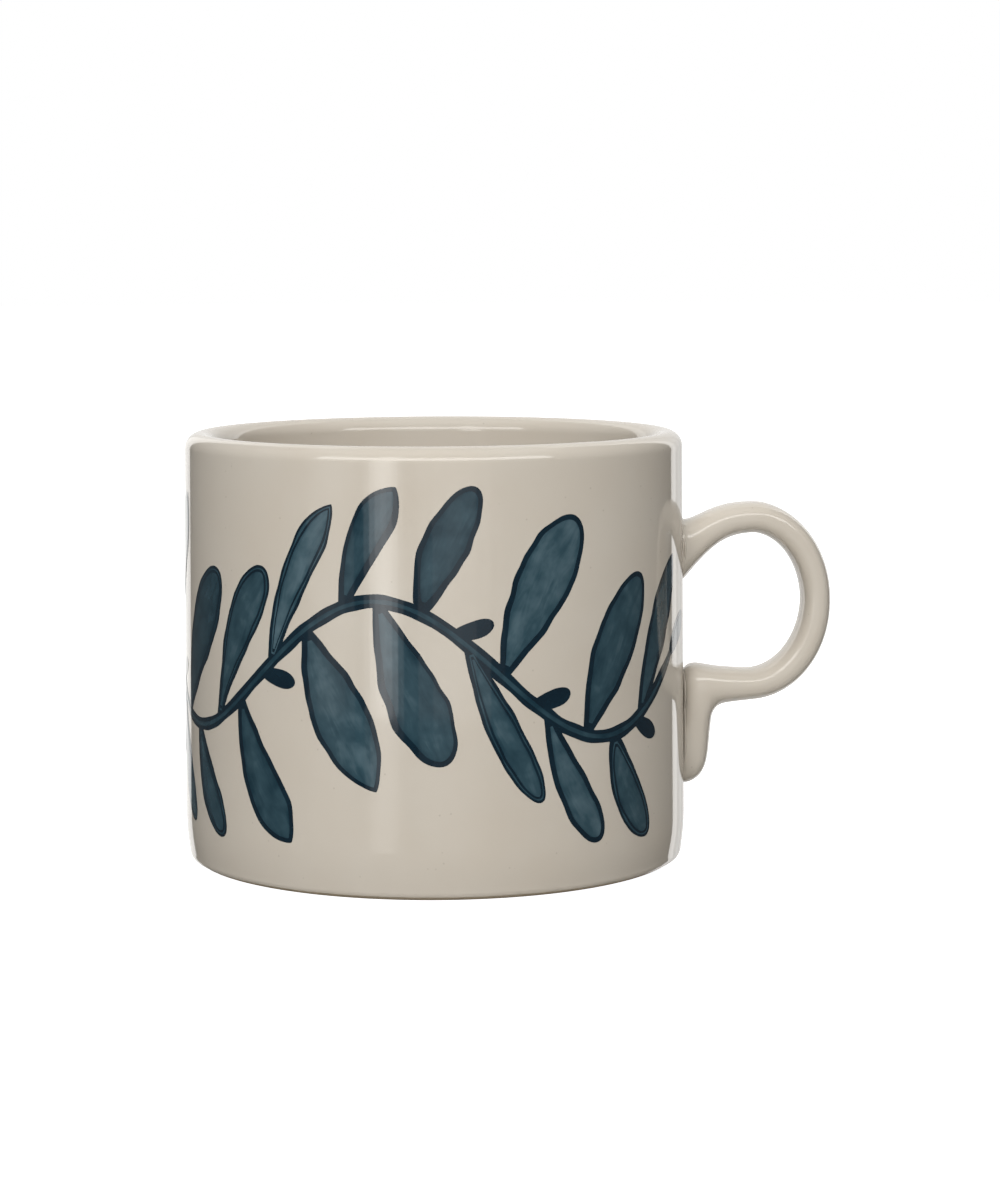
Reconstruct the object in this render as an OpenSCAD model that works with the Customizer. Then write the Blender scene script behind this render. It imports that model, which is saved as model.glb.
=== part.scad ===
// Straight-sided stoneware mug with a luted ring handle.
// Origin: centre of the foot, on the cup's axis. +Z is up and the handle points along +X.
// All sizes are in millimetres.

/* [Cup] */
// Outer diameter across the lip, glaze included
lip_d = 95; // [85:1:105]
// Height from the foot to the top of the lip
cup_h = 82; // [78:1:95]
// Wall thickness, glaze included
wall_t = 5.9; // [4.5:0.1:7]
// How much wider the radius is at the belly than at the lip
belly_flare = 0.65; // [0:0.05:1.2]
// Height of the belly, the widest place of the wall
belly_z = 9; // [7:0.5:12]
// Height of the inside floor above the table
floor_z = 6.5; // [5:0.5:9]
// Radius of the curve between the inside floor and the wall
floor_curve_r = 8; // [4:0.5:12]

/* [Foot] */
// How far the foot edge draws in under the belly
foot_draw_in = 0.55; // [0:0.05:1.5]
// Rounding of the foot's outer edge
foot_edge_r = 1.8; // [0.8:0.1:2.5]
// Width of the flat foot ring
foot_ring_w = 5; // [3:0.5:8]
// Depth of the hollow under the floor
foot_hollow = 1.2; // [0.6:0.1:2]

/* [Glaze] */
// Thickness of the glaze coats
glaze_t = 0.35; // [0.2:0.05:0.5]
// Height of the glaze line above the table
glaze_line_z = 0.8; // [0.6:0.1:1.6]
// How far the seam between the two coats lies below the rounding of the lip
glaze_seam_drop = 1.5; // [0.5:0.5:4]

/* [Handle] */
// Width of the strap
strap_w = 11; // [9:0.5:13]
// Thickness of the strap
strap_t = 5.4; // [4.5:0.1:6]
// Distance from the cup's axis to the handle's outer face
handle_reach = 76.4; // [75:0.1:80]
// Height of the top of the ring
ring_top_z = 68; // [67:0.1:69]
// Centreline radius of the ring's upper part
ring_r = 15.2; // [14:0.2:16.4]
// Centreline radius of the ring's lower bend
lower_bend_r = 14.2; // [12:0.2:15.4]
// Height of the underside of the ring
ring_bottom_z = 29.6; // [29:0.1:31]

/* [Tail] */
// Centreline radius of the bend from the ring into the tail
tail_bend_r = 5.9; // [5.4:0.1:7]
// Height of the tail's rounded tip
tail_tip_z = 13.3; // [12:0.1:15]
// Width of the tail just above its tip
tail_tip_w = 9; // [7:0.5:10]
// How much thinner the tail gets towards its tip
tail_thinning = 1.2; // [0.5:0.1:2]

/* [Slip joints] */
// Rounding radius of the pad of slip under the handle's upper end
upper_pad_r = 11.5; // [10.5:0.5:12.5]
// How far the upper pad stands out from the wall
upper_pad_out = 1.8; // [1.4:0.2:2.4]
// Rounding radius of the pad of slip under the lower end and the tail
lower_pad_r = 10; // [9:0.5:11]
// How far the lower pad stands out from the wall
lower_pad_out = 1.4; // [1:0.1:1.8]

/* [Hidden] */

clay_colour = [0.76, 0.70, 0.61];
glaze_colour = [0.80, 0.76, 0.69];
slip_colour = [0.72, 0.67, 0.59];
round_fn = 240;
slip_overlap = 0.4;
margin = 1;
lip_r = wall_t / 2;
lip_x = lip_d / 2 - lip_r;
lip_z = cup_h - lip_r;
seam_z = lip_z - glaze_seam_drop;
belly_x = lip_d / 2 + belly_flare;
foot_x = belly_x - foot_draw_in;
ring_x = handle_reach - strap_t / 2 - ring_r;
ring_z = ring_top_z - strap_t / 2 - ring_r;
bend_x = handle_reach - strap_t / 2 - lower_bend_r;
bend_z = ring_bottom_z + strap_t / 2 + lower_bend_r;
bar_z = ring_bottom_z + strap_t / 2;
tail_x = belly_x - 0.35 + strap_t / 2;
tail_bend_x = tail_x + tail_bend_r;
tail_bend_z = bar_z - tail_bend_r;
upper_pad_z = ring_z + sqrt(pow(ring_r, 2) - pow(ring_x - lip_d / 2, 2));
inside_wall_x = lip_x - lip_r;
ring_sweep = 165;

// Half section of the solid bounded by the outside, drawn back from the glazed size by g
module outside_section(g) {
    polygon([
        [0, 0],
        [foot_x - g - foot_edge_r, 0],
        [foot_x - g, foot_edge_r],
        [belly_x - g, belly_z],
        [lip_x + lip_r - g, lip_z],
        [0, lip_z]
    ]);
    translate([foot_x - g - foot_edge_r, foot_edge_r]) circle(foot_edge_r, $fn = round_fn);
    translate([lip_x, lip_z]) circle(lip_r - g, $fn = round_fn);
}

// Half section of the hollow, drawn back from the glazed size by g
module inside_section(g) {
    x = inside_wall_x + g;
    z = floor_z - g;
    r = floor_curve_r + g;
    translate([0, z]) square([x - r, cup_h]);
    translate([0, z + r]) square([x, lip_z - z - r]);
    translate([x - r, z + r]) circle(r, $fn = round_fn);
}

// Half section of the cup's clay or of the cup with its glaze
module cup_section(g) {
    difference() {
        outside_section(g);
        difference() {
            union() {
                inside_section(g);
                translate([0, lip_z - margin]) square([lip_x, lip_r + 2 * margin]);
            }
            translate([lip_x, lip_z]) circle(lip_r - g, $fn = round_fn);
        }
        foot_hollow_section();
    }
}

// Half section of the shallow hollow inside the foot ring
module foot_hollow_section() {
    x = foot_x - glaze_t - foot_edge_r - foot_ring_w;
    polygon([
        [-margin, -margin], [x + margin, -margin], [x, 0],
        [x - foot_hollow, foot_hollow], [-margin, foot_hollow]
    ]);
}

// The clay cup: wall, lip, floor and foot
module cup_body() {
    color(clay_colour) rotate_extrude($fn = round_fn) cup_section(glaze_t);
}

// A plug the size of the clay cup, for cutting what stands on its wall
module clay_plug() {
    rotate_extrude($fn = round_fn) outside_section(glaze_t);
}

// Section of the strap: thickness across, width upright, with fully round edges
module strap_section() {
    flat = strap_w - strap_t;
    square([strap_t, flat], center = true);
    for (side = [-1, 1]) translate([0, side * flat / 2]) circle(strap_t / 2, $fn = round_fn);
}

// A bend of the strap in the XZ plane, from one angle to another
module strap_bend(x, z, r, from, sweep) {
    translate([x, 0, z]) rotate([90, 0, 0]) rotate([0, 0, from])
        rotate_extrude(angle = sweep, $fn = round_fn) translate([r, 0]) strap_section();
}

// Face of the tail seen from the handle's side of the cup, as a YZ outline
module tail_outline() {
    tip_r = tail_tip_w / 2;
    polygon([
        [-strap_w / 2 - margin, bar_z], [strap_w / 2 + margin, bar_z],
        [tip_r, tail_tip_z + tip_r], [-tip_r, tail_tip_z + tip_r]
    ]);
    translate([0, tail_tip_z + tip_r]) circle(tip_r, $fn = round_fn);
}

// Side view of the straight tail, thinner towards the tip
module tail_side() {
    face = tail_x + strap_t / 2;
    wall = belly_x - margin;
    slim = tail_thinning;
    polygon([
        [wall - strap_t, tail_bend_z], [face, tail_bend_z],
        [face - slim, tail_tip_z + 2 * slim + 2], [face - 2 * slim - 0.6, tail_tip_z + slim],
        [wall + slim, tail_tip_z - margin], [wall - strap_t, tail_tip_z - margin]
    ]);
}

// The tail that runs down the wall below the ring
module tail() {
    strap_bend(tail_bend_x, tail_bend_z, tail_bend_r, 90, 90);
    intersection() {
        translate([tail_x, 0, tail_tip_z - margin])
            linear_extrude(tail_bend_z - tail_tip_z + margin) strap_section();
        translate([tail_x - strap_t, 0, 0]) rotate([90, 0, 90])
            linear_extrude(2 * strap_t) tail_outline();
        translate([0, strap_w / 2 + margin, 0]) rotate([90, 0, 0])
            linear_extrude(strap_w + 2 * margin) tail_side();
    }
}

// The strap before its ends are fitted to the wall
module strap() {
    strap_bend(ring_x, ring_z, ring_r, 0, ring_sweep);
    translate([ring_x + ring_r, 0, bend_z]) linear_extrude(ring_z - bend_z) strap_section();
    strap_bend(bend_x, bend_z, lower_bend_r, -90, 90);
    translate([inside_wall_x + margin, 0, bar_z]) rotate([0, 90, 0])
        linear_extrude(bend_x - inside_wall_x - margin) strap_section();
    tail();
}

// The ring handle with its tail, fitted to the clay wall and to the slip that holds it
module ring_handle() {
    color(glaze_colour) difference() {
        strap();
        clay_plug();
        upper_pad();
        lower_pad();
    }
}

// A round pad of slip whose body is sunk into the wall
module round_pad(r, stand_out, at_z) {
    translate([lip_d / 2 + stand_out - r, 0, at_z]) sphere(r, $fn = round_fn);
}

// The upper pad before it is fitted to the wall
module upper_pad() {
    round_pad(upper_pad_r, upper_pad_out, upper_pad_z);
}

// The lower pad before it is fitted to the wall, round at both ends
module lower_pad() {
    low_z = tail_tip_z + strap_t - slip_overlap;
    round_pad(lower_pad_r, lower_pad_out, low_z);
    translate([lip_d / 2 + lower_pad_out - lower_pad_r, 0, low_z])
        cylinder(bar_z - low_z, lower_pad_r, lower_pad_r, $fn = round_fn);
    round_pad(lower_pad_r, lower_pad_out, bar_z);
}

// The pad of slip that lutes the upper end of the handle
module upper_slip_joint() {
    color(slip_colour) difference() {
        upper_pad();
        clay_plug();
    }
}

// The pad of slip under the lower end of the ring and the tail
module lower_slip_joint() {
    color(slip_colour) difference() {
        lower_pad();
        clay_plug();
    }
}

// Clear glaze on the outside, from the glaze line to the seam under the lip
module outer_glaze() {
    color(glaze_colour) difference() {
        rotate_extrude($fn = round_fn) intersection() {
            difference() {
                outside_section(0);
                outside_section(glaze_t);
            }
            translate([lip_x, glaze_line_z]) square([lip_d, seam_z - glaze_line_z]);
        }
        strap();
        upper_pad();
        lower_pad();
    }
}

// Clear glaze from the seam over the lip and down the inside over the floor
module liner_glaze() {
    color(glaze_colour) rotate_extrude($fn = round_fn) intersection() {
        difference() {
            cup_section(0);
            cup_section(glaze_t);
        }
        union() {
            translate([0, floor_curve_r]) square([lip_x, cup_h]);
            translate([lip_x - margin, seam_z]) square([lip_d, cup_h]);
            translate([0, floor_z - glaze_t]) square([inside_wall_x + glaze_t, floor_curve_r]);
        }
    }
}

cup_body();
ring_handle();
upper_slip_joint();
lower_slip_joint();
outer_glaze();
liner_glaze();
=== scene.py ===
import math
import random
import bpy
import bmesh
from mathutils import Matrix, Vector, noise


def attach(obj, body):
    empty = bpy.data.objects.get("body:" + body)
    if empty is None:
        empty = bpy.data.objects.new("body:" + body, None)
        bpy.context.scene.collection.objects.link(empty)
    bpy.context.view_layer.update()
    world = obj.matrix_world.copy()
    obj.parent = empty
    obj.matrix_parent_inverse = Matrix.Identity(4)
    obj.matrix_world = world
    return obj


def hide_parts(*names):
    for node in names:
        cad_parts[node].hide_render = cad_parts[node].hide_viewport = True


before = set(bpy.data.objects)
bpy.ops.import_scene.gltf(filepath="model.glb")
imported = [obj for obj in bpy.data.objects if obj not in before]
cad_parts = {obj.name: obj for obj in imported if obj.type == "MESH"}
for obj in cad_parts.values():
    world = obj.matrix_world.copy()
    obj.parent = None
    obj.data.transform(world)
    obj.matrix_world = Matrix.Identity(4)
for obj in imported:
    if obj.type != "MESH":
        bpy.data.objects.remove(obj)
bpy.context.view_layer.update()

mm = 0.001
doubleGap = 0.0005  # mm, corners closer than this are one


# small helpers

def hexColour(code):
    # sRGB hex to the linear values that Blender wants
    parts = [int(code[i:i + 2], 16) / 255 for i in (0, 2, 4)]
    linear = [p / 12.92 if p <= 0.04045 else ((p + 0.055) / 1.055) ** 2.4 for p in parts]
    return (*linear, 1)


def addNode(tree, kind, settings=None, links=None):
    # settings: socket name or number to value, or a property of the node. links: socket to output
    node = tree.nodes.new(kind)
    for key, value in (settings or {}).items():
        if isinstance(key, int) or key in node.inputs:
            node.inputs[key].default_value = value
        else:
            setattr(node, key, value)
    for key, output in (links or {}).items():
        tree.links.new(output, node.inputs[key])
    return node


def newMaterial(name):
    material = bpy.data.materials.new(name)
    material.use_nodes = True
    tree = material.node_tree
    tree.nodes.clear()
    shader = addNode(tree, "ShaderNodeBsdfPrincipled")
    addNode(tree, "ShaderNodeOutputMaterial", links={"Surface": shader.outputs[0]})
    return material, tree, shader


def finishPiece(name, bm, material, replaced=(), sharpDegrees=40, rise=0, levels=0):
    # bm is in millimetres; the finished object sits at the origin in metres
    bmesh.ops.remove_doubles(bm, verts=bm.verts, dist=doubleGap)
    bmesh.ops.recalc_face_normals(bm, faces=bm.faces)
    bm.edges.index_update()
    bmesh.ops.scale(bm, vec=(mm, mm, mm), verts=bm.verts)
    mesh = bpy.data.meshes.new(name)
    rims = [edge.index for edge in bm.edges if edge.is_boundary]  # a film keeps a crisp rim
    bm.to_mesh(mesh)
    bm.free()
    mesh.materials.append(material)
    piece = bpy.data.objects.new(name, mesh)
    bpy.context.scene.collection.objects.link(piece)
    if levels:
        smoother = piece.modifiers.new("smoother", "SUBSURF")
        smoother.levels = smoother.render_levels = levels
    if rise:
        film = piece.modifiers.new("film", "SOLIDIFY")
        film.thickness = rise * mm
        film.offset = -1
    mesh.polygons.foreach_set("use_smooth", [True] * len(mesh.polygons))
    mesh.set_sharp_from_angle(angle=math.radians(sharpDegrees))
    for index in rims:
        mesh.edges[index].use_edge_sharp = True
    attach(piece, "root")
    if replaced:
        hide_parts(*replaced)
    return piece


def arc(centreX, centreZ, radius, fromDegrees, toDegrees, steps):
    turn = (toDegrees - fromDegrees) / steps
    angles = [math.radians(fromDegrees + turn * i) for i in range(steps + 1)]
    return [(centreX + radius * math.cos(a), centreZ + radius * math.sin(a)) for a in angles]


def spinOutline(points, closed, steps):
    # turns a half outline, (distance from the axis, height), once round the cup's axis
    bm = bmesh.new()
    verts = [bm.verts.new((x, 0, z)) for x, z in points]
    edges = [bm.edges.new(pair) for pair in zip(verts, verts[1:])]
    if closed:
        edges.append(bm.edges.new((verts[-1], verts[0])))
    bmesh.ops.spin(bm, geom=verts + edges, cent=(0, 0, 0), axis=(0, 0, 1), angle=math.tau,
                   steps=steps, use_merge=True)
    return bm


# camera: low in front, the handle out to the right

camera = {"distance": 626.5, "height": 122.7, "turn": -2.0, "roll": 0.28, "aimHeight": 41.0,
          "lens": 98.2, "shiftX": 0.0545, "shiftY": 0.0356}


def placeCamera():
    turn = math.radians(camera["turn"])
    away = camera["distance"]
    eye = Vector((away * math.sin(turn), -away * math.cos(turn), camera["height"])) * mm
    aim = Vector((0, 0, camera["aimHeight"])) * mm
    data = bpy.data.cameras.new("camera")
    data.lens = camera["lens"]
    data.sensor_width = 36
    data.shift_x = camera["shiftX"]
    data.shift_y = camera["shiftY"]
    data.clip_start = 0.01
    holder = bpy.data.objects.new("camera", data)
    facing = (aim - eye).to_track_quat("-Z", "Y").to_matrix().to_4x4()
    roll = Matrix.Rotation(math.radians(-camera["roll"]), 4, "Z")
    holder.matrix_world = Matrix.Translation(eye) @ facing @ roll
    bpy.context.scene.collection.objects.link(holder)
    bpy.context.scene.camera = holder


placeCamera()
print("camera placed")


# studio: white floor, soft key, and a tent that only the gloss sees

studio = {"worldLight": 0.12, "floorGlow": 1.1, "floorColour": "bab9b6", "floorRadius": 4,
          "warmLight": (1, 0.99, 0.975), "plainLight": (1, 1, 1), "panelLight": (1, 0.99, 0.97, 1),
          # each softbox: place in metres, side, watts; all look at a point low in the mug
          "lookAt": (0, 0, 0.04),
          "key": ((-0.2, -1.15, 0.85), 0.7, 17.5),
          "top": ((0.1, 0.1, 1.3), 0.9, 6.4),
          "rear": ((-0.25, 1.15, 0.7), 0.7, 6.0),
          # tent heights and radius in metres; each panel: from and to in degrees, strength
          "tentRadius": 0.45, "tentLow": -1.2, "tentHigh": 0.8, "tentDark": 0.1, "ceiling": 0.4,
          "behind": 1.02, "before": 0.98, "nearest": 0.9, "panelStep": 6,
          "backdrop": [(-33, -18, 1.35), (-18, 18, 0.92), (18, 28, 0.98), (28, 37, 1.25),
                       (37, 44.5, 1.9)],
          "windows": [(-167, -150, 3.4), (-150, -120, 0.7), (150, 193, 0.9)],
          "windowLow": -0.02, "windowHigh": 0.5, "windowSlats": 7,
          "sillDeep": 0.05, "sillShare": 0.4,
          "glint": (125, 235, 4.5), "glintLow": 0.22, "glintHigh": 0.36}


def emission(name, colour, strength):
    material = bpy.data.materials.new(name)
    material.use_nodes = True
    tree = material.node_tree
    tree.nodes.clear()
    glow = addNode(tree, "ShaderNodeEmission", {"Color": colour, "Strength": strength})
    addNode(tree, "ShaderNodeOutputMaterial", links={"Surface": glow.outputs[0]})
    return material


def stagePiece(name, bm, material):
    mesh = bpy.data.meshes.new(name)
    bm.to_mesh(mesh)
    bm.free()
    mesh.materials.append(material)
    holder = bpy.data.objects.new(name, mesh)
    bpy.context.scene.collection.objects.link(holder)
    return holder


def seenByGlossOnly(holder):
    holder.visible_camera = False
    holder.visible_diffuse = False
    holder.visible_shadow = False
    holder.visible_transmission = False


def softbox(name, colour):
    place, size, power = studio[name]
    data = bpy.data.lights.new(name, "AREA")
    data.shape = "SQUARE"
    data.size = size
    data.energy = power
    data.color = colour
    holder = bpy.data.objects.new(name, data)
    holder.location = place
    facing = Vector(studio["lookAt"]) - Vector(place)
    holder.rotation_euler = facing.to_track_quat("-Z", "Y").to_euler()
    holder.visible_glossy = False
    bpy.context.scene.collection.objects.link(holder)


def buildFloor():
    # the eye sees it almost burnt out, as paper under strong light is; the mug gets a plain pale
    # bounce from it
    bm = bmesh.new()
    bmesh.ops.create_circle(bm, cap_ends=True, segments=96, radius=studio["floorRadius"])
    material, tree, shader = newMaterial("white paper sweep")
    shader.inputs["Base Color"].default_value = hexColour(studio["floorColour"])
    shader.inputs["Roughness"].default_value = 0.8
    shader.inputs["Emission Color"].default_value = (*studio["plainLight"], 1)
    path = addNode(tree, "ShaderNodeLightPath")
    glow = addNode(tree, "ShaderNodeMath", {"operation": "MULTIPLY", 1: studio["floorGlow"]},
                   {0: path.outputs["Is Camera Ray"]})
    tree.links.new(glow.outputs[0], shader.inputs["Emission Strength"])
    floor = stagePiece("floor", bm, material)
    floor.visible_glossy = False


def tentPanel(name, fromDegrees, toDegrees, low, high, strength, radius):
    # an upright curved panel; degrees are measured from straight behind the mug, + to the right
    start = math.radians(90 - fromDegrees + camera["turn"])
    sweep = math.radians(fromDegrees - toDegrees)
    bm = bmesh.new()
    foot = Vector((math.cos(start), math.sin(start), 0)) * radius
    verts = [bm.verts.new(foot + Vector((0, 0, h))) for h in (low, high)]
    edge = bm.edges.new(verts)
    steps = max(2, int(abs(toDegrees - fromDegrees) / studio["panelStep"]))
    bmesh.ops.spin(bm, geom=verts + [edge], cent=(0, 0, 0), axis=(0, 0, 1), angle=sweep,
                   steps=steps)
    seenByGlossOnly(stagePiece(name, bm, emission(name, studio["panelLight"], strength)))


def buildTent():
    r = studio["tentRadius"]
    low, high = studio["tentLow"], studio["tentHigh"]
    for number, (start, end, strength) in enumerate(studio["backdrop"]):
        tentPanel(f"backdrop{number}", start, end, low, high, strength, r)
    left, right = studio["backdrop"][0][0], studio["backdrop"][-1][1]
    tentPanel("tentSides", right, 360 + left, low, high, studio["tentDark"], r * studio["behind"])
    slats, sill = studio["windowSlats"], studio["windowLow"]
    for number, (start, end, peak) in enumerate(studio["windows"]):
        for i in range(slats):
            # soft-edged: bright in the middle, fading to each side and below
            a, b = (start + (end - start) * j / slats for j in (i, i + 1))
            glow = peak * math.sin(math.pi * (i + 0.5) / slats)
            tentPanel(f"window{number}slat{i}", a, b, sill, studio["windowHigh"], glow,
                      r * studio["before"])
            tentPanel(f"window{number}sill{i}", a, b, sill - studio["sillDeep"], sill,
                      glow * studio["sillShare"], r * studio["before"])
    bm = bmesh.new()
    bmesh.ops.create_circle(bm, cap_ends=True, segments=48, radius=r * studio["behind"])
    bmesh.ops.translate(bm, vec=(0, 0, high), verts=bm.verts)
    ceiling = emission("tent ceiling", studio["panelLight"], studio["ceiling"])
    seenByGlossOnly(stagePiece("tentCeiling", bm, ceiling))
    start, end, strength = studio["glint"]
    tentPanel("glintPanel", start, end, studio["glintLow"], studio["glintHigh"], strength,
              r * studio["nearest"])


def buildWorld():
    world = bpy.data.worlds.new("white room")
    bpy.context.scene.world = world
    world.use_nodes = True
    tree = world.node_tree
    tree.nodes.clear()
    path = addNode(tree, "ShaderNodeLightPath")
    dim = addNode(tree, "ShaderNodeBackground", {"Color": (*studio["warmLight"], 1),
                                                 "Strength": studio["worldLight"]})
    seen = addNode(tree, "ShaderNodeBackground", {"Color": (*studio["plainLight"], 1),
                                                  "Strength": 1.0})
    mixed = addNode(tree, "ShaderNodeMixShader", links={0: path.outputs["Is Camera Ray"],
                                                        1: dim.outputs[0], 2: seen.outputs[0]})
    addNode(tree, "ShaderNodeOutputWorld", links={"Surface": mixed.outputs[0]})


def buildStudio():
    buildWorld()
    softbox("key", studio["warmLight"])
    softbox("top", studio["plainLight"])
    softbox("rear", studio["plainLight"])
    buildFloor()
    buildTent()
    bpy.context.scene.view_settings.view_transform = "Standard"


buildStudio()
print("studio lit")


# glaze and clay

# sizes in mm; speckRange is how far from a speck's middle it starts to fade and is gone, as a share
# of the gap between specks, and speckRarity the share of them that stays clear
glazeLook = {"clay": "cbc5bb", "warmPatch": "c4bbae", "patchSize": 18.0,
             "speck": "9b9184", "speckGap": 1.5, "speckRange": (0.05, 0.16), "speckStrength": 0.4,
             "speckRarity": 0.8, "roughness": 0.05, "ior": 1.52,
             "rippleSize": 7.0, "rippleDepth": 0.03, "rippleStrength": 0.35}
clayLook = {"light": "cbbca5", "dark": "b7a68e", "roughness": 0.85, "grogSize": 0.8,
            "grogDepth": 0.1, "grogStrength": 0.5}


def glossUnderGlaze(shader):
    # clay and paint lie under one clear coat, so they shine alike
    shader.inputs["Roughness"].default_value = glazeLook["roughness"]
    shader.inputs["IOR"].default_value = glazeLook["ior"]


def glazedStoneware():
    # clear gloss glaze poured over buff stoneware: a hard, slightly rippled shine over a soft
    # grey-beige body with faint warm patches and a few iron specks
    material, tree, shader = newMaterial("clear-glazed stoneware")
    where = addNode(tree, "ShaderNodeTexCoord").outputs["Object"]
    patches = addNode(tree, "ShaderNodeTexNoise", {"Scale": 1 / (glazeLook["patchSize"] * mm),
                                                   "Detail": 3.0, "Roughness": 0.5},
                      {"Vector": where})
    tone = addNode(tree, "ShaderNodeMix", {"data_type": "RGBA", 6: hexColour(glazeLook["clay"]),
                                           7: hexColour(glazeLook["warmPatch"])},
                   {0: patches.outputs[0]})
    specks = addNode(tree, "ShaderNodeTexVoronoi", {"Scale": 1 / (glazeLook["speckGap"] * mm)},
                     {"Vector": where})
    fade, gone = glazeLook["speckRange"]
    near = addNode(tree, "ShaderNodeMapRange", {"From Min": fade, "From Max": gone,
                                                "To Min": glazeLook["speckStrength"],
                                                "To Max": 0.0},
                   {"Value": specks.outputs["Distance"]})
    rare = addNode(tree, "ShaderNodeMath", {"operation": "GREATER_THAN",
                                            1: glazeLook["speckRarity"]},
                   {0: specks.outputs["Color"]})
    pick = addNode(tree, "ShaderNodeMath", {"operation": "MULTIPLY"},
                   {0: near.outputs[0], 1: rare.outputs[0]})
    speckled = addNode(tree, "ShaderNodeMix", {"data_type": "RGBA",
                                               7: hexColour(glazeLook["speck"])},
                       {0: pick.outputs[0], 6: tone.outputs[2]})
    tree.links.new(speckled.outputs[2], shader.inputs["Base Color"])
    glossUnderGlaze(shader)
    ripple = addNode(tree, "ShaderNodeTexNoise", {"Scale": 1 / (glazeLook["rippleSize"] * mm),
                                                  "Detail": 1.0}, {"Vector": where})
    bump = addNode(tree, "ShaderNodeBump", {"Strength": glazeLook["rippleStrength"],
                                            "Distance": glazeLook["rippleDepth"] * mm},
                   {"Height": ripple.outputs[0]})
    tree.links.new(bump.outputs[0], shader.inputs["Normal"])
    return material


def bareStoneware():
    # fired clay wiped free of glaze: matt, buff, with fine sandy grog
    material, tree, shader = newMaterial("bare fired stoneware")
    where = addNode(tree, "ShaderNodeTexCoord").outputs["Object"]
    grog = addNode(tree, "ShaderNodeTexNoise", {"Scale": 1 / (clayLook["grogSize"] * mm),
                                                "Detail": 4.0}, {"Vector": where})
    tone = addNode(tree, "ShaderNodeMix", {"data_type": "RGBA", 6: hexColour(clayLook["dark"]),
                                           7: hexColour(clayLook["light"])}, {0: grog.outputs[0]})
    tree.links.new(tone.outputs[2], shader.inputs["Base Color"])
    shader.inputs["Roughness"].default_value = clayLook["roughness"]
    bump = addNode(tree, "ShaderNodeBump", {"Strength": clayLook["grogStrength"],
                                            "Distance": clayLook["grogDepth"] * mm},
                   {"Height": grog.outputs[0]})
    tree.links.new(bump.outputs[0], shader.inputs["Normal"])
    return material


glazed = glazedStoneware()
bare = bareStoneware()


# cup

cup = {"lipRadius": 47.5, "height": 82.0, "wall": 5.9, "bellyFlare": 0.65, "bellyHeight": 9.0,
       "footDrawIn": 0.55, "footEdge": 1.8, "footRing": 5.0, "footHollow": 1.2, "floor": 6.5,
       "floorCurve": 8.0, "glaze": 0.35, "glazeLine": 0.8, "seamDrop": 1.5, "stepsRound": 256,
       # extra rings that keep the faces of long flat stretches even
       "wallRings": (66, 52, 38, 26), "floorRings": (12, 24), "hollowRing": 20}
lipCurve = cup["wall"] / 2
lipX = cup["lipRadius"] - lipCurve
lipZ = cup["height"] - lipCurve
seamZ = lipZ - cup["seamDrop"]


def wallRadius(z):
    # the outside of the glaze: a slight flare down to the belly, then drawn in to the foot
    belly, flare = cup["bellyHeight"], cup["bellyFlare"]
    bellyRadius = cup["lipRadius"] + flare
    if z >= belly:
        return bellyRadius - flare * (z - belly) / (lipZ - belly)
    drawn = (belly - z) / (belly - cup["footEdge"])
    return bellyRadius - cup["footDrawIn"] * drawn ** 2


def wallLine(fromZ, toZ, inset, steps):
    heights = [fromZ + (toZ - fromZ) * i / steps for i in range(steps + 1)]
    return [(wallRadius(z) - inset, z) for z in heights]


def outsideLine(inset, footAngle):
    # from the foot's edge up the wall to the seam under the lip
    edge = cup["footEdge"]
    footX = wallRadius(edge) - inset - edge
    line = arc(footX, edge, edge, footAngle, 0, 8)[:-1]
    line += wallLine(edge, cup["bellyHeight"], inset, 8)[:-1]
    return line + wallLine(cup["bellyHeight"], seamZ, inset, 12)


def insideLine(inset):
    # from the seam over the lip and down the inside to the middle of the floor
    curve = cup["floorCurve"] + inset
    wallX = lipX - lipCurve + inset
    floorZ = cup["floor"] - inset
    line = wallLine(seamZ, lipZ, inset, 2)[:-1]
    line += arc(lipX, lipZ, lipCurve - inset, 0, 180, 28)
    line += [(wallX, z) for z in cup["wallRings"]]
    line += arc(wallX - curve, floorZ + curve, curve, 0, -90, 14)
    line += [(wallX - curve - x, floorZ) for x in cup["floorRings"]]
    return line + [(0, floorZ)]


def buildCup():
    glazeInset = cup["glaze"]
    footStart = math.degrees(math.asin(cup["glazeLine"] / cup["footEdge"] - 1))
    outer = outsideLine(0, footStart)
    inner = outsideLine(glazeInset, footStart)
    coat = spinOutline(outer + inner[::-1], True, cup["stepsRound"])
    finishPiece("outerGlaze", coat, glazed, ["outer_glaze"])
    liner = insideLine(0) + insideLine(glazeInset)[::-1]
    coat = spinOutline(liner, True, cup["stepsRound"])
    finishPiece("linerGlaze", coat, glazed, ["liner_glaze"])
    body = insideLine(glazeInset)[::-1] + outsideLine(glazeInset, -90)[:-1][::-1]
    ringX = wallRadius(cup["footEdge"]) - glazeInset - cup["footEdge"] - cup["footRing"]
    hollow = cup["footHollow"]
    # the hollow inside the foot ring, its edges softened a little
    body += [(ringX + 0.3, 0), (ringX, 0.2), (ringX - hollow, hollow - 0.1),
             (ringX - hollow - 0.6, hollow), (ringX - cup["hollowRing"], hollow), (0, hollow)]
    clay = spinOutline(body, False, cup["stepsRound"])
    finishPiece("stonewareCup", clay, bare, ["cup_body"])


buildCup()
print("cup turned and glazed")


# handle

handle = {"roundness": 0.76, "sides": 40, "halfWide": 5.5, "crownThick": 3.0, "sideThick": 2.75,
          "ringX": 60.5, "ringZ": 48.8, "ringReach": 13.2, "ringRise": 16.3,
          "ringFrom": 85, "ringTo": -90, "ringStep": -7,  # degrees, up is 90
          "crookX": 56.6, "crookZ": 25.9, "tailBack": 46.6}
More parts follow.
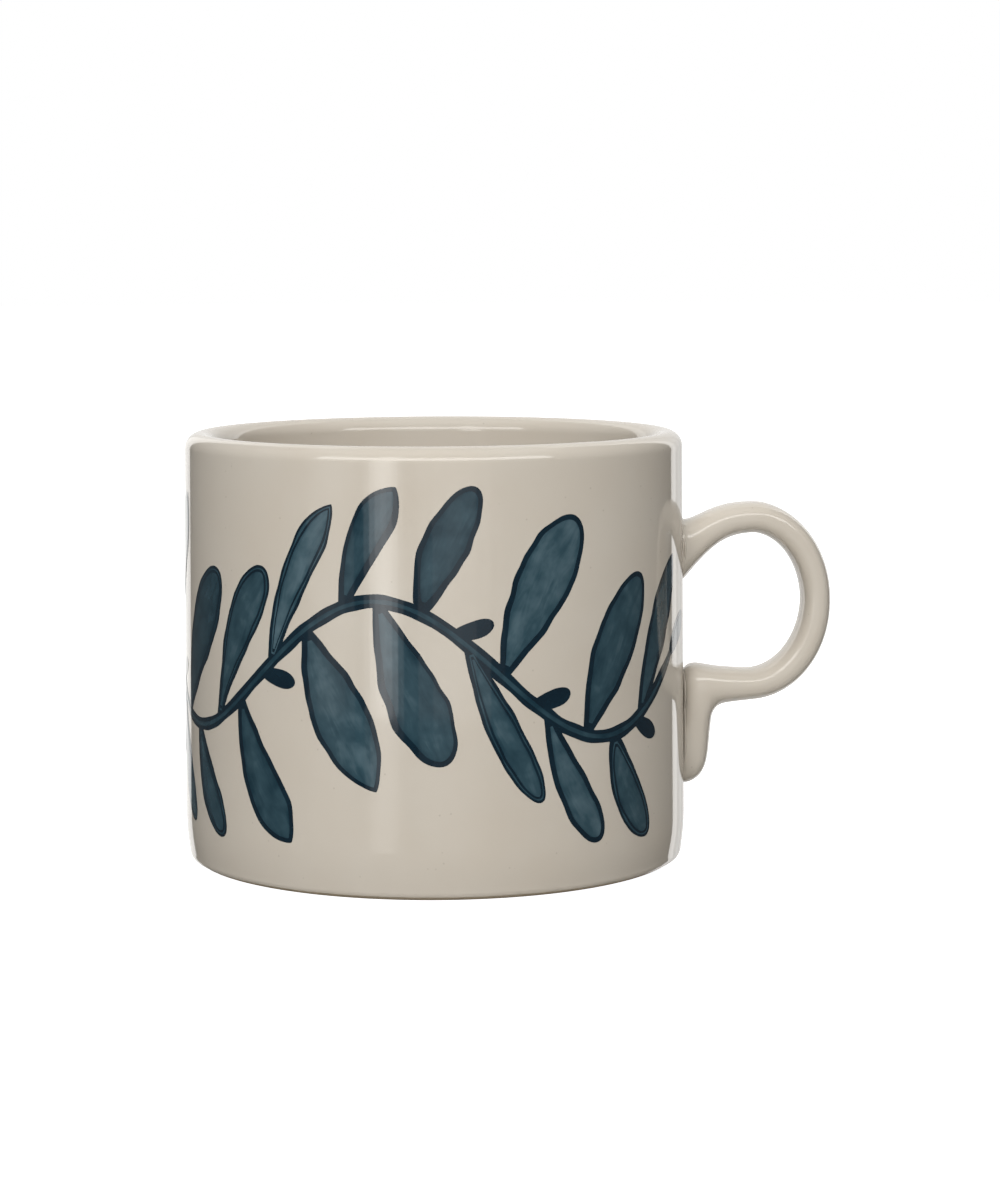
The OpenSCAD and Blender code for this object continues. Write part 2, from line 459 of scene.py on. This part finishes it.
# (x, z, tilt in degrees of the strap's thickness, half thickness, half width)
upperRoot = [(46.6, 58.7, 90, 6.8, 7.4), (47.8, 58.9, 91, 5.8, 6.6),
             (49.2, 59.8, 94, 4.7, 6.0), (51.7, 61.8, 99, 3.7, 5.6),
             (54.3, 63.5, 100, 3.25, 5.5), (57.4, 64.7, 96, 3.05, 5.5)]
# (angle round the crook, distance from it, half thickness, half width)
crookFan = [(90, 6.5, 3.35, 5.5), (108, 6.9, 3.8, 5.6), (122, 8.1, 5.0, 5.8),
            (134, 8.0, 4.9, 5.9), (150, 6.7, 3.6, 5.8), (166, 6.2, 3.1, 5.7), (180, 6.0, 2.9, 5.5)]
# (height, how far the face stands from the axis, half width)
tailRun = [(22.6, 53.2, 5.2), (19.6, 53.0, 5.0), (17.4, 52.6, 4.7), (15.8, 52.0, 4.2),
           (14.6, 51.1, 3.4), (13.7, 49.9, 2.4), (13.3, 48.7, 1.2)]


def strapStations():
    stations = list(upperRoot)
    reach, rise = handle["ringReach"], handle["ringRise"]
    for degrees in range(handle["ringFrom"], handle["ringTo"] - 1, handle["ringStep"]):
        c, s = math.cos(math.radians(degrees)), math.sin(math.radians(degrees))
        thick = handle["sideThick"] + (handle["crownThick"] - handle["sideThick"]) * abs(s)
        slope = math.degrees(math.atan2(s * reach, c * rise))
        stations.append((handle["ringX"] + reach * c, handle["ringZ"] + rise * s, slope, thick,
                         handle["halfWide"]))
    for degrees, far, thick, wide in crookFan:
        c, s = math.cos(math.radians(degrees)), math.sin(math.radians(degrees))
        stations.append((handle["crookX"] + far * c, handle["crookZ"] + far * s, degrees + 180,
                         thick, wide))
    back = handle["tailBack"]
    for z, face, wide in tailRun:
        stations.append(((face + back) / 2, z, 360, (face - back) / 2, wide))
    return stations


def strapRing(bm, station):
    # one section of the strap: a circle squared off a little, scaled, tilted and put in place
    x, z, tilt, thick, wide = station
    made = bmesh.ops.create_circle(bm, segments=handle["sides"], radius=1)["verts"]
    for v in made:
        v.co.x = math.copysign(abs(v.co.x) ** handle["roundness"], v.co.x)
        v.co.y = math.copysign(abs(v.co.y) ** handle["roundness"], v.co.y)
    place = Matrix.Translation((x, 0, z)) @ Matrix.Rotation(-math.radians(tilt), 4, "Y")
    bmesh.ops.transform(bm, matrix=place @ Matrix.Diagonal((thick, wide, 1, 1)), verts=made)
    return made


def buildHandle():
    bm = bmesh.new()
    rings = [strapRing(bm, station) for station in strapStations()]
    for ring in (rings[0], rings[-1]):
        bm.faces.new(ring)
    loops = [[e for e in {e for v in ring for e in v.link_edges}
              if all(u in set(ring) for u in e.verts)] for ring in rings]
    for near, far in zip(loops, loops[1:]):
        bmesh.ops.bridge_loops(bm, edges=near + far)
    finishPiece("ringHandle", bm, glazed, ["ring_handle"], sharpDegrees=180,
                levels=2)


# each mound of slip: how far it stands out, its half width and half height, and its height
slip = {"upper": ((0.7, 7.2, 5.0), 59.4), "lower": ((0.5, 6.0, 4.6), 31.2),
        "tail": ((0.5, 5.5, 9.6), 23.6)}


def slipMound(bm, which):
    size, height = slip[which]
    made = bmesh.ops.create_uvsphere(bm, u_segments=64, v_segments=40, radius=1)["verts"]
    place = Matrix.Translation((wallRadius(height), 0, height)) @ Matrix.Diagonal((*size, 1))
    bmesh.ops.transform(bm, matrix=place, verts=made)


def buildSlip():
    bm = bmesh.new()
    slipMound(bm, "upper")
    finishPiece("upperSlipJoint", bm, glazed, ["upper_slip_joint"],
                sharpDegrees=180)
    bm = bmesh.new()
    slipMound(bm, "lower")
    slipMound(bm, "tail")
    finishPiece("lowerSlipJoint", bm, glazed, ["lower_slip_joint"],
                sharpDegrees=180)


buildHandle()
buildSlip()
print("handle luted on")


# painted vine

# the brush and its colour: widths, lifts off the glaze and pattern sizes in mm
paint = {"line": 1.0, "neck": 1.8, "leastNeck": 0.1,
         "stemThin": 1.8, "stemThick": 2.6, "core": 0.34,
         "leafWobble": 0.1, "leafWobbleLong": 4, "stemWobble": 0.25, "stemWobbleSteps": 5,
         "stemTaperIn": 8, "stemTaperOut": 12, "heavyShift": 0.35,
         "aroundRadius": 47.8, "frontDegrees": -92, "grid": 0.8,
         "lineLift": 0.02, "washLift": 0.035, "echoLift": 0.05, "filmStep": 0.004,
         "filmThick": 0.15,
         "inkDark": "071824", "inkLight": "102936", "mottle": 4.0,
         "washes": [(0.05, "15303c"), (0.45, "304954"), (0.95, "5c727c")],
         "streakWide": 2.4, "streakLong": 9.0, "uneven": 0.7, "poolDark": 0.2, "poolNarrow": 5.0}
# how a leaf swells from its stalk and how it closes at its tip
leafKinds = {"pear": (1.1, 1.0), "club": (1.6, 1.0), "oval": (0.8, 1.0), "pointed": (1.0, 1.6)}
# a plain running vine: one waving stem round the mug, clear of the handle, with leaves leaning
# forward above and below it; distances in mm, start and end measured round the wall from the front
vine = {"start": -211.0, "end": 56.0, "clearTo": 66.0, "waves": 3, "middle": 41.5, "rise": 13.0,
        "leafGap": 15.2, "sideShift": 0.25, "steep": 64, "steepSpread": 3,
        "top": 78.5, "bottom": 5.5, "fill": 0.86, "shortest": 15.0, "longest": 32.0,
        "slender": 0.34, "plump": (0.9, 1.1), "roomShare": 0.8, "widest": (0.55, 0.74),
        "bow": (0.3, 1.8), "tones": (0.2, 0.65),
        "accents": ("", "", "echo", "heavyLeft", "heavyRight"),
        "budPlace": 0.4, "budSlope": 0.5, "budTurn": 55, "budLong": 7.5, "budWide": 3.4,
        "lastLeaf": (10.2, 6.0), "lastWide": 4.8, "seed": 5}


def stemHeight(across):
    share = (across - vine["start"]) / (vine["end"] - vine["start"])
    return vine["middle"] + vine["rise"] * math.sin(math.tau * vine["waves"] * share)


def onStem(across):
    return Vector((across, stemHeight(across)))


def stemSlope(across):
    return stemHeight(across + 0.5) - stemHeight(across - 0.5)


def stemLine():
    long = vine["end"] - vine["start"]
    steps = round(long / paint["grid"])
    acrosses = [vine["start"] + long * i / steps for i in range(steps + 1)]
    return [onStem(across) for across in acrosses]


def vineLeaves():
    # a leaf is as long as most of the room between the stem and the edge of the band, and no wider
    # than most of the room to its neighbour; each is (stalk end, tip, full width, where it is
    # widest, bow to its left, kind, tone or None where it is solid line colour, accent)
    chance = random.Random(vine["seed"])
    leaves = []
    for i in range(int((vine["end"] - vine["start"]) / vine["leafGap"])):
        for side in (1, -1):
            across = vine["start"] + vine["leafGap"] * (i + 0.5 + side * vine["sideShift"])
            across += chance.uniform(-1, 1)
            base = onStem(across)
            room = vine["top"] - base.y if side > 0 else base.y - vine["bottom"]
            steep = math.radians(vine["steep"] + chance.uniform(-1, 1) * vine["steepSpread"])
            up, forward = math.sin(steep), math.cos(steep)
            long = min(vine["longest"], max(vine["shortest"], vine["fill"] * room / up))
            tip = base + Vector((forward, side * up)) * long
            gap = vine["leafGap"] * (up - side * stemSlope(across) * forward)
            wide = long * vine["slender"] * chance.uniform(*vine["plump"])
            leaf = (base, tip, min(wide, gap * vine["roomShare"]),
                    chance.uniform(*vine["widest"]), side * chance.uniform(*vine["bow"]),
                    chance.choice(sorted(leafKinds)), chance.uniform(*vine["tones"]),
                    chance.choice(vine["accents"]))
            if tip.x < vine["clearTo"]:
                leaves.append(leaf)
            # a bud of solid line colour on the roomy side, wherever the stem climbs or falls
            across += vine["leafGap"] * vine["budPlace"]
            slope = stemSlope(across)
            if -side * slope > vine["budSlope"] and across < vine["end"]:
                base = onStem(across)
                turn = math.atan(slope) + side * math.radians(vine["budTurn"])
                tip = base + Vector((math.cos(turn), math.sin(turn))) * vine["budLong"]
                leaves.append((base, tip, vine["budWide"], 0.6, -0.2, "oval", None, ""))
    base = onStem(vine["end"])
    tip = base + Vector(vine["lastLeaf"])
    return leaves + [(base, tip, vine["lastWide"], 0.6, 0.6, "oval", 0.4, "")]


def onWall(across, height, lift):
    # mm round the wall from the front, + to the right, and mm up, to a place on the glaze
    turn = math.radians(paint["frontDegrees"]) + across / paint["aroundRadius"]
    radius = wallRadius(height) + lift
    return Vector((radius * math.cos(turn), radius * math.sin(turn), height))


def paintGrid(bm, rows, columns, place, tone):
    # one flat film of paint: a grid whose corners go where place(along, across) says, with its own
    # mm map for streaks, its tone and how near the edge it is
    uvs = bm.loops.layers.uv.verify()
    toneLayer = bm.verts.layers.float.get("tone") or bm.verts.layers.float.new("tone")
    edgeLayer = bm.verts.layers.float.get("edge") or bm.verts.layers.float.new("edge")
    made = bmesh.ops.create_grid(bm, x_segments=rows, y_segments=columns, size=1)["verts"]
    spots = {}
    for v in made:
        spot, sideways, forward = place((v.co.x + 1) / 2, v.co.y)
        v[toneLayer] = tone
        v[edgeLayer] = abs(v.co.y)
        spots[v] = (sideways * mm, forward * mm)
        v.co = spot
    for face in {f for v in made for f in v.link_faces}:
        for loop in face.loops:
            loop[uvs].uv = spots[loop.vert]
    bmesh.ops.remove_doubles(bm, verts=made, dist=doubleGap)


def leafFilm(bm, leaf, seed, inset, lift, shift):
    # one leaf shape, drawn in by inset from its outline and shifted sideways by shift
    base, tip, width, widest, bow, kind, tone = leaf[:7]
    swell, close = leafKinds[kind]
    length = (tip - base).length
    side = Vector((base.y - tip.y, tip.x - base.x)) / length
    middle = (base + tip) / 2 + side * bow * 2
    start = (inset * 1.3 + paint["stemThin"] / 2) / length if inset else 0
    end = 1 - inset / length
    half = width / 2 - inset
    neck = max(paint["leastNeck"], (paint["neck"] / 2 - inset) / half)

    def place(along, across):
        if along < 0.5:
            t = widest * along * 2
            share = neck + (1 - neck) * math.sin(math.pi * along) ** swell
        else:
            swing = math.pi * (along - 0.5)
            t = widest + (1 - widest) * math.sin(swing)
            share = max(0.0, math.cos(swing)) ** close
        t = start + (end - start) * t
        spot = base * (1 - t) ** 2 + middle * 2 * t * (1 - t) + tip * t ** 2
        ahead = (middle - base) * (1 - t) + (tip - middle) * t
        left = Vector((-ahead.y, ahead.x)).normalized()
        hand = 1 if across > 0 else -1  # each edge of each leaf wavers its own way
        where = Vector((t * length / paint["leafWobbleLong"], hand * 3, seed * 7.3))
        sideways = across * half * share * (1 + paint["leafWobble"] * noise.noise(where))
        spot = spot + left * (sideways + shift * share)
        return onWall(spot.x, spot.y, lift), sideways, t * length

    rows, columns = max(10, round(length / paint["grid"])), max(4, round(width / paint["grid"]))
    paintGrid(bm, rows, columns, place, tone or 0)


def bandFilm(bm, path, widths, lift, tone, fade):
    # a brush line along a path, from one width to another and thinned at both ends
    last = len(path) - 1

    def place(along, across):
        i = round(along * last)
        ahead = (path[min(last, i + 1)] - path[max(0, i - 1)]).normalized()
        left = Vector((-ahead.y, ahead.x))
        width = widths[0] + (widths[1] - widths[0]) * along
        thin = min(1.0, fade + i / paint["stemTaperIn"], fade + (last - i) / paint["stemTaperOut"])
        where = Vector((i / paint["stemWobbleSteps"], across * 2, width))
        wobble = 1 + paint["stemWobble"] * noise.noise(where)
        sideways = across * width / 2 * thin * wobble
        spot = path[i] + left * sideways
        return onWall(spot.x, spot.y, lift), sideways, i * paint["grid"]

    paintGrid(bm, last, 4, place, tone)


def lineMaterial():
    # dark cobalt-and-iron underglaze drawn with a fine brush under the clear glaze: inky, hardly
    # varied
    material, tree, shader = newMaterial("cobalt underglaze line")
    where = addNode(tree, "ShaderNodeTexCoord").outputs["Object"]
    cloud = addNode(tree, "ShaderNodeTexNoise", {"Scale": 1 / (paint["mottle"] * mm),
                                                 "Detail": 2.0}, {"Vector": where})
    tone = addNode(tree, "ShaderNodeMix", {"data_type": "RGBA", 6: hexColour(paint["inkDark"]),
                                           7: hexColour(paint["inkLight"])}, {0: cloud.outputs[0]})
    tree.links.new(tone.outputs[2], shader.inputs["Base Color"])
    glossUnderGlaze(shader)
    return material


def washMaterial():
    # the same pigment let down with water and floated on: streaks along the leaf, lighter where it
    # is thin, pooled dark against the outline
    material, tree, shader = newMaterial("cobalt underglaze wash")
    where = addNode(tree, "ShaderNodeTexCoord")
    fineness = (1 / (paint["streakWide"] * mm), 1 / (paint["streakLong"] * mm), 1)
    stretch = addNode(tree, "ShaderNodeMapping", {"Scale": fineness},
                      {"Vector": where.outputs["UV"]})
    streaks = addNode(tree, "ShaderNodeTexNoise", {"Scale": 1.0, "Detail": 3.0, "Roughness": 0.6,
                                                   "Distortion": 0.6},
                      {"Vector": stretch.outputs[0]})
    cloud = addNode(tree, "ShaderNodeTexNoise", {"Scale": 1 / (paint["mottle"] * mm),
                                                 "Detail": 2.0}, {"Vector": where.outputs["Object"]})
    tone = addNode(tree, "ShaderNodeAttribute", {"attribute_name": "tone"})
    edge = addNode(tree, "ShaderNodeAttribute", {"attribute_name": "edge"})
    level = tone.outputs["Fac"]
    for pattern in (streaks, cloud):
        swing = addNode(tree, "ShaderNodeMath", {"operation": "MULTIPLY_ADD", 1: paint["uneven"],
                                                 2: -paint["uneven"] / 2}, {0: pattern.outputs[0]})
        level = addNode(tree, "ShaderNodeMath", {"operation": "ADD"},
                        {0: swing.outputs[0], 1: level}).outputs[0]
    pooled = addNode(tree, "ShaderNodeMath", {"operation": "POWER", 1: paint["poolNarrow"]},
                     {0: edge.outputs["Fac"]})
    final = addNode(tree, "ShaderNodeMath", {"operation": "MULTIPLY_ADD", 1: -paint["poolDark"]},
                    {0: pooled.outputs[0], 2: level})
    ramp = addNode(tree, "ShaderNodeValToRGB", links={0: final.outputs[0]})
    stops = ramp.color_ramp.elements
    stops.new(0.5)
    for stop, (position, code) in zip(stops, paint["washes"]):
        stop.position, stop.color = position, hexColour(code)
    tree.links.new(ramp.outputs[0], shader.inputs["Base Color"])
    glossUnderGlaze(shader)
    return material


def paintVine():
    lines, washes = bmesh.new(), bmesh.new()
    thin, thick, core = paint["stemThin"], paint["stemThick"], paint["core"]
    bandFilm(lines, stemLine(), (thin, thick), paint["lineLift"], 0, 0.55)
    bandFilm(washes, stemLine(), (thin * core, thick * core), paint["echoLift"], 0.2, 0.2)
    for number, leaf in enumerate(vineLeaves()):
        tone, accent = leaf[6:]
        step = paint["filmStep"] * (number % 5)  # films that cross never lie at one height
        leafFilm(lines, leaf, number, 0, paint["lineLift"] + step, 0)
        if tone is None:
            continue
        # an outline heavier on one side, or a second finer outline inside the first
        heavy = paint["heavyShift"]
        shift = {"heavyLeft": -heavy, "heavyRight": heavy}.get(accent, 0)
        echoed = accent == "echo"
        line, lift = paint["line"], paint["washLift"] + step
        leafFilm(washes, leaf, number, line * (0.5 if echoed else 1), lift, shift)
        if echoed:
            again = number + 0.5
            leafFilm(lines, leaf, again, line * 0.8, lift + paint["filmStep"] * 3, shift)
            leafFilm(washes, leaf, again, line * 1.25, lift + paint["filmStep"] * 6, shift)
    film = paint["filmThick"]
    finishPiece("vineLines", lines, lineMaterial(), rise=film)
    finishPiece("vineWashes", washes, washMaterial(), rise=film)


paintVine()
print("vine painted")
